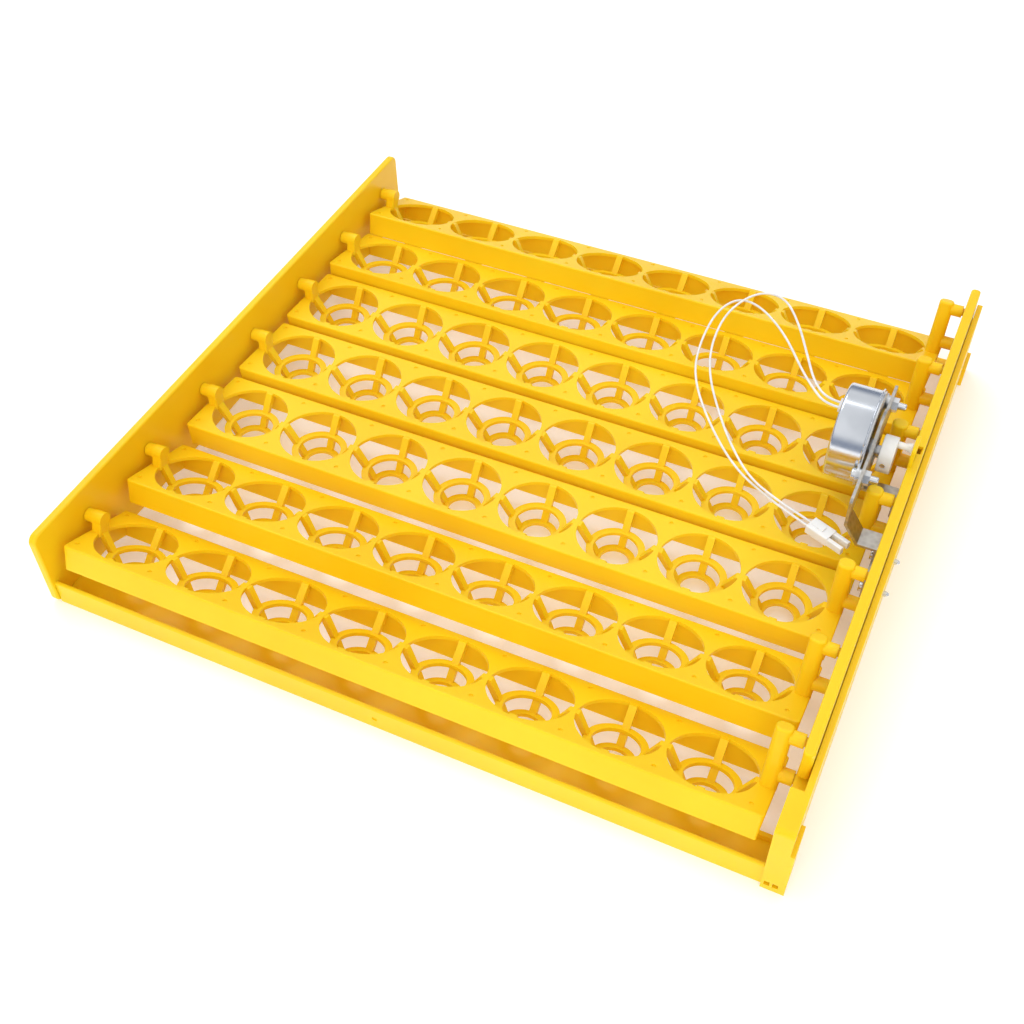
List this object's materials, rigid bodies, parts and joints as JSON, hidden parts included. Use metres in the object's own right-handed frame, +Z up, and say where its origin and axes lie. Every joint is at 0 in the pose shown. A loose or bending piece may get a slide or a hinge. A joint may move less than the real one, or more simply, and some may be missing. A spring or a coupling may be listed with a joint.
{
  "type": "egg turning tray",
  "caption": "Motorised egg turning tray for an incubator: tilting rows of egg cups in a frame, linked by a drive bar and rocked by a crank on a small gear motor.",
  "frame": {"origin": "on the ground under the middle of the footprint", "axes": "+X along the egg rows towards the motor side, +Y from the front row to the back row, +Z up"},
  "size_m": [0.4072, 0.387, 0.0928],
  "materials": {
    "yellow_plastic": "semi-gloss moulded",
    "row_plastic": "semi-gloss moulded",
    "bar_plastic": "semi-gloss moulded",
    "motor_steel": "drawn sheet, bright zinc",
    "plate_steel": "bright zinc",
    "coil_copper": "wound",
    "gear_plate": "plain",
    "bracket_zinc": "grey zinc",
    "screw_zinc": "bright zinc",
    "lead_white": "soft pvc",
    "connector_white": "satin",
    "contact_brass": "tinned",
    "shaft_steel": "turned",
    "gear_plastic": "moulded",
    "nylon_white": "natural nylon",
    "rotor_ferrite": "ferrite"
  },
  "bodies": {
    "frame": {"left_side_plate": "yellow_plastic", "right_side_plate": "yellow_plastic", "front_cross_bar": "yellow_plastic", "rear_cross_bar": "yellow_plastic", "motor_can": "motor_steel", "motor_front_plate": "plate_steel", "motor_coil": "coil_copper", "gear_partition": "gear_plate", "motor_bracket": "bracket_zinc", "motor_screws": "screw_zinc", "motor_nuts": "screw_zinc", "bracket_screws": "screw_zinc", "lead_grommet": "lead_white", "lead_wire_a": "lead_white", "lead_wire_b": "lead_white", "connector_housing": "connector_white", "connector_contacts": "contact_brass"},
    "row_1": {"egg_row_1": "row_plastic"},
    "row_2": {"egg_row_2": "row_plastic"},
    "row_3": {"egg_row_3": "row_plastic"},
    "row_4": {"egg_row_4": "row_plastic"},
    "row_5": {"egg_row_5": "row_plastic"},
    "row_6": {"egg_row_6": "row_plastic"},
    "row_7": {"egg_row_7": "row_plastic"},
    "drive_bar": {"drive_bar": "bar_plastic"},
    "crank": {"output_shaft": "shaft_steel", "output_gear": "gear_plastic", "crank_disc": "nylon_white", "crank_set_screw": "screw_zinc"},
    "rotor": {"motor_rotor": "rotor_ferrite"}
  },
  "joints": [
    {"name": "row_6_tilt", "type": "hinge", "parent": "frame", "child": "row_6", "pos_m": [0, 0.1167, 0.0335], "axis": [1, 0, 0], "range_deg": [-5, 30]},
    {"name": "row_1_tilt", "type": "hinge", "parent": "frame", "child": "row_1", "pos_m": [0, -0.1553, 0.0335], "axis": [1, 0, 0], "range_deg": [-5.5, 30.5]},
    {"name": "row_2_tilt", "type": "hinge", "parent": "frame", "child": "row_2", "pos_m": [0, -0.1009, 0.0335], "axis": [1, 0, 0], "range_deg": [-5.5, 30.5]},
    {"name": "row_3_tilt", "type": "hinge", "parent": "frame", "child": "row_3", "pos_m": [0, -0.0465, 0.0335], "axis": [1, 0, 0], "range_deg": [-5.5, 30.5]},
    {"name": "row_4_tilt", "type": "hinge", "parent": "frame", "child": "row_4", "pos_m": [0, 0.0079, 0.0335], "axis": [1, 0, 0], "range_deg": [-5.5, 30.5]},
    {"name": "row_5_tilt", "type": "hinge", "parent": "frame", "child": "row_5", "pos_m": [0, 0.0623, 0.0335], "axis": [1, 0, 0], "range_deg": [-5.5, 30.5]},
    {"name": "row_7_tilt", "type": "hinge", "parent": "frame", "child": "row_7", "pos_m": [0, 0.1711, 0.0335], "axis": [1, 0, 0], "range_deg": [-5.5, 30.5]},
    {"name": "bar_swing", "type": "hinge", "parent": "row_6", "child": "drive_bar", "pos_m": [0.194, 0.12065, 0.05382], "axis": [1, 0, 0], "range_deg": [-30.5, 5.5]},
    {"name": "crank_spin", "type": "hinge", "parent": "frame", "child": "crank", "pos_m": [0.177, 0.0369, 0.0588], "axis": [1, 0, 0], "continuous": true},
    {"name": "rotor_spin", "type": "hinge", "parent": "frame", "child": "rotor", "pos_m": [0.16, 0.0369, 0.0668], "axis": [1, 0, 0], "continuous": true}
  ],
  "couplings": [
    {"joint": "row_1_tilt", "follows": "row_6_tilt", "ratio": 1},
    {"joint": "row_2_tilt", "follows": "row_6_tilt", "ratio": 1},
    {"joint": "row_3_tilt", "follows": "row_6_tilt", "ratio": 1},
    {"joint": "row_4_tilt", "follows": "row_6_tilt", "ratio": 1},
    {"joint": "row_5_tilt", "follows": "row_6_tilt", "ratio": 1},
    {"joint": "row_7_tilt", "follows": "row_6_tilt", "ratio": 1},
    {"joint": "bar_swing", "follows": "row_6_tilt", "ratio": -1}
  ]
}
